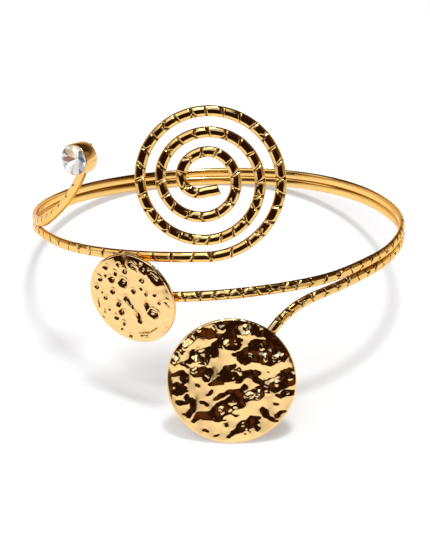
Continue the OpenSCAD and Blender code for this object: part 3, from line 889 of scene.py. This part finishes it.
TONE, SURFACE = tone_group(), surface_group()
print("shader groups:", TONE.name, "and", SURFACE.name)

# %% [markdown]
# ## Gold
# A gold material is a metal shader fed by the two groups. The strands add two masks that were
# painted on their meshes: the deep of each cut stroke gets a painted shade, and the very edges
# get a deeper yellow, a painted reflection of gold in gold with a little painted shade.

# %% Gold materials
SHEEN_AT_EDGE = (1.0, 0.82, 0.55, 1)  # what the metal mirrors when seen along its surface
PATCH_SIZE, PATCH_SHARE, POLISH_SPREAD = 5.0, 0.5, 0.06
CUT_SHADE_FROM, CUT_SHADE_FULL = 0.3, 0.7  # depths of a cut where the painted shade begins and is full

def effect(tree, group, **values):
    node = add(tree, "ShaderNodeGroup")
    node.node_tree = group
    return fill(tree, node, **values).outputs

def gold(name, colour, patch, rough, depth, grain, cut_shade_colour=None, edge_reflection_colour=None):
    mat, tree, shader = fresh_material(name, Metallic=1.0, Specular_Tint=SHEEN_AT_EDGE)
    tone = effect(tree, TONE, Colour=(*colour, 1), Patch_colour=(*patch, 1),
                  Patch_size_mm=PATCH_SIZE, Patch_share=PATCH_SHARE)["Colour"]
    fine = effect(tree, SURFACE, Grain_mm=grain, Depth_mm=depth, Roughness=rough,
                  Spread=POLISH_SPREAD)
    # Painted reflection of gold in gold, with painted shade, at the very edges
    if edge_reflection_colour:
        tone = mixed(tree, painted(tree, "edge")["Fac"], tone, (*edge_reflection_colour, 1))
    # Painted shade in the deep of each cut
    if cut_shade_colour:
        deep = stretched(tree, painted(tree, "engraved")["Fac"], CUT_SHADE_FROM, CUT_SHADE_FULL)
        tone = mixed(tree, deep, tone, (*cut_shade_colour, 1))
    fill(tree, shader, Base_Color=tone, Normal=fine["Normal"], Roughness=fine["Roughness"])
    return mat

# The strands get painted shade in their cuts and a painted reflection with painted shade at their edges
strand_gold = gold("strand_gold", (0.97, 0.65, 0.26), (0.86, 0.49, 0.06), 0.06, 0.002, 0.6,
                   cut_shade_colour=(0.09, 0.038, 0.008), edge_reflection_colour=(0.64, 0.32, 0.025))
disc_gold = gold("disc_gold", (1.0, 0.69, 0.31), (0.98, 0.63, 0.25), 0.06, 0.003, 0.9)
cup_gold = gold("cup_gold", (0.97, 0.66, 0.27), (0.93, 0.58, 0.2), 0.08, 0.002, 0.8)
print("golds:", [mat.name for mat in (strand_gold, disc_gold, cup_gold)])

# %% [markdown]
# ## Glass and foil
# The stone is clear glass over a silver foil, as on paste jewels. Glass alone would show the
# plain floor of the cup, so the facets behind the girdle are a foil, each painted with a
# reflection: the tone that a cut stone throws back from the room, white, grey, blue or a warm sand.

# %% Crystal material
FOIL_REFLECTED_TONES = {"white": (0.97, 0.97, 0.98), "grey": (0.5, 0.51, 0.54), "rose": (0.4, 0.19, 0.13),
              "blue": (0.05, 0.14, 0.24), "sand": (0.62, 0.46, 0.26), "slate": (0.16, 0.19, 0.23)}
# The 8 main facets at the back, then the 16 small ones beside them
FOIL_MAIN = ["blue", "slate", "white", "sand", "rose", "white", "white", "grey"]
FOIL_SIDE = ["white", "grey", "white", "white", "sand", "white", "slate", "white",
             "white", "grey", "white", "sand", "white", "slate", "grey", "white"]
FACES_AN_EIGHTH = 9  # of the stone: six in front, two small ones at the back, a main one
FOIL_PAINTED_GLOW = 0.35  # painted glow, for light that bounces many times inside the stone

def foil_back():
    mat, tree, shader = fresh_material("foil_back", Metallic=0.5, Roughness=0.12,
                                       Emission_Strength=FOIL_PAINTED_GLOW)
    # Each facet's painted reflection, also given off as a painted glow
    tone = painted(tree, "foil")["Color"]
    fill(tree, shader, Base_Color=tone, Emission_Color=tone)
    return mat

def foil_the_back(piece):
    tones, backs = [], 0
    for face in piece.data.polygons:
        part, k = (face.index - 1) % FACES_AN_EIGHTH, (face.index - 1)//FACES_AN_EIGHTH
        back = face.index > 0 and part > 5
        face.material_index = int(back)
        backs += int(back)
        name = "white"
        if back:
            name = FOIL_MAIN[k] if part == 8 else FOIL_SIDE[2*k + part - 6]
        tones += [*FOIL_REFLECTED_TONES[name], 1]
    piece.data.attributes.new("foil", "FLOAT_COLOR", "FACE").data.foreach_set("color", tones)
    print("facets with foil:", backs, "of", len(piece.data.polygons))

glass = fresh_material("cut_glass", Base_Color=WHITE, Roughness=0.0, IOR=1.5,
                       Transmission_Weight=1.0)[0]
foil = foil_back()
foil_the_back(crystal)

# %% [markdown]
# ## Dressing the solids
# Each piece gets its material, rides on the cuff's one body and stands for the solid that it
# hides. All the metal is one solid, because it is soldered, and the stone is the other.

# %% Materials and bodies
for piece, mat, slot, node in [(upper_strand, strand_gold, "gold", "cuff"),
                               (lower_strand, strand_gold, "gold", "cuff"),
                               (large_disc, disc_gold, "gold", "cuff"),
                               (small_disc, disc_gold, "gold", "cuff"),
                               (crystal_cup, cup_gold, "gold", "cuff"),
                               (crystal, glass, "crystal", "crystal")]:
    piece.data.materials.append(mat)
    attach(piece, "root")
    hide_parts(node)
    print(piece.name, "is", mat.name, "and stands for", node)
crystal.data.materials.append(foil)

# %% [markdown]
# ## Floor
# Product photos stand on white card that runs out of sight. A plain white plane would be grey
# in the picture or lose every shadow, so this one glows a little and the lamp adds the rest. It
# darkens beyond the camera's view, since that far floor is what the dents mirror when they look
# dark.

# %% Floor
FLOOR_CORNERS = [(-3, -2.2, 0), (3, -2.2, 0), (3, 3, 0), (-3, 3, 0)]
CARD, CARD_FAR = (0.87, 0.88, 0.88, 1), (0.24, 0.18, 0.13, 1)
DARK_FROM, DARK_FULL = 0.3, 1.1  # metres from the cuff

def floor():
    piece = make_piece("floor", FLOOR_CORNERS, [[0, 1, 2, 3]], smooth=False)
    mat, tree, shader = fresh_material("pale_floor", Roughness=0.22, IOR=1.4,
                                       Emission_Strength=0.39)
    place = add(tree, "ShaderNodeTexCoord").outputs["Object"]
    reach = add(tree, "ShaderNodeVectorMath", Vector=place)
    reach.operation = "LENGTH"
    far = stretched(tree, reach.outputs["Value"], DARK_FROM, DARK_FULL, smooth=True)
    tone = mixed(tree, far, CARD, CARD_FAR)
    fill(tree, shader, Base_Color=tone, Emission_Color=tone)
    piece.data.materials.append(mat)

floor()

# %% [markdown]
# ## Lamp
# One round lamp high above the front gives the soft ring of shadow. Its size sets how soft:
# the thin strands must still throw a shadow, so it is small. Light that fades with distance
# would make the card uneven, so the falloff is constant.

# %% Key lamp
def lamp(name, place, radius, watts):
    data = bpy.data.lights.new(name, "POINT")
    data.shadow_soft_size, data.energy = radius, watts
    data.use_nodes = True
    tree = data.node_tree
    falloff = add(tree, "ShaderNodeLightFalloff", Strength=1.0)
    fill(tree, tree.nodes["Emission"], Strength=falloff.outputs["Constant"])
    piece = bpy.data.objects.new(name, data)
    piece.location = place
    bpy.context.collection.objects.link(piece)
    print(name, "lamp:", watts, "W, radius", round(MM*radius), "mm")

lamp("key", (0.050, -0.073, 0.670), 0.055, 16.4)

# %% [markdown]
# ## Sky
# Polished gold is as good as what it mirrors. The room is dim and brown, a little paler low
# down, and round soft boxes hang in it. A picture of a studio would do this in one node. Here
# each box is a patch of sky round a direction, full inside one angle and gone outside another.

# %% Sky
ROOM = [(0.0, (0.66, 0.56, 0.42)), (0.1, (0.44, 0.33, 0.21)), (0.25, (0.16, 0.1, 0.055)),
        (0.5, (0.05, 0.03, 0.016)), (1.0, (0.05, 0.03, 0.016))]  # height, colour
# Direction, inner and outer angle, colour
PATCHES = [
    ((-0.14, -0.94, 0.31), 50, 60, (0.02, 0.0075, 0.003)),    # dark room in front
    ((0, -0.9, 0.43), 3, 13, (0.1, 0.036, 0.012)),            # its brown glow
    ((-0.27, -0.24, 0.932), 30, 38, (1.08, 1.1, 1.16)),       # wide box overhead
    ((0, -0.616, 0.788), 5, 18, (0.62, 0.74, 1.2)),           # cool box before it
    ((-0.15, -0.42, 0.895), 5, 10, (4, 4, 4)),                # its lamp
    ((-0.87, 0.1, 0.48), 10, 18, (1.0, 0.95, 0.85)),          # warm box, left
    ((0.87, 0.1, 0.48), 8, 18, (0.3, 0.2, 0.12)),             # dim box, right
]

def sky():
    world = bpy.data.worlds.new("studio")
    world.use_nodes = True
    tree = world.node_tree
    way = add(tree, "ShaderNodeTexCoord").outputs["Generated"]
    height = add(tree, "ShaderNodeSeparateXYZ", Vector=way).outputs["Z"]
    ramp = add(tree, "ShaderNodeValToRGB", Fac=height)
    while len(ramp.color_ramp.elements) < len(ROOM):
        ramp.color_ramp.elements.new(0.5)
    for stop, (position, tone) in zip(ramp.color_ramp.elements, ROOM):
        stop.position, stop.color = position, (*tone, 1)
    result = ramp.outputs[0]
    for aim, inner, outer, colour in PATCHES:
        dot = add(tree, "ShaderNodeVectorMath", Vector=way)
        dot.operation, dot.inputs[1].default_value = "DOT_PRODUCT", aim
        gone, full = np.cos(np.radians([outer, inner]))
        near = stretched(tree, dot.outputs["Value"], gone, full, smooth=True)
        result = mixed(tree, near, result, (*colour, 1))
    fill(tree, tree.nodes["Background"], Color=result)
    bpy.context.scene.world = world
    print("sky with", len(PATCHES), "patches")

sky()

# %% [markdown]
# ## Camera
# The photo looks down at 35 degrees. A long lens keeps the back of the band almost as wide as
# the front, as in the photo, and the standard view keeps the card white.

# %% Camera
cam = bpy.data.cameras.new("camera")
cam.lens, cam.sensor_width = 110.0, 36
cam.clip_start, cam.clip_end = 0.01, 20
camera = bpy.data.objects.new("camera", cam)
camera.location = (-0.00102, -0.29396, 0.21534)
camera.rotation_euler = (math.radians(54.84), math.radians(-0.2), 0)
bpy.context.collection.objects.link(camera)
bpy.context.scene.camera = camera
bpy.context.scene.view_settings.view_transform = "Standard"
print("camera distance, mm:", round(MM*camera.location.length))
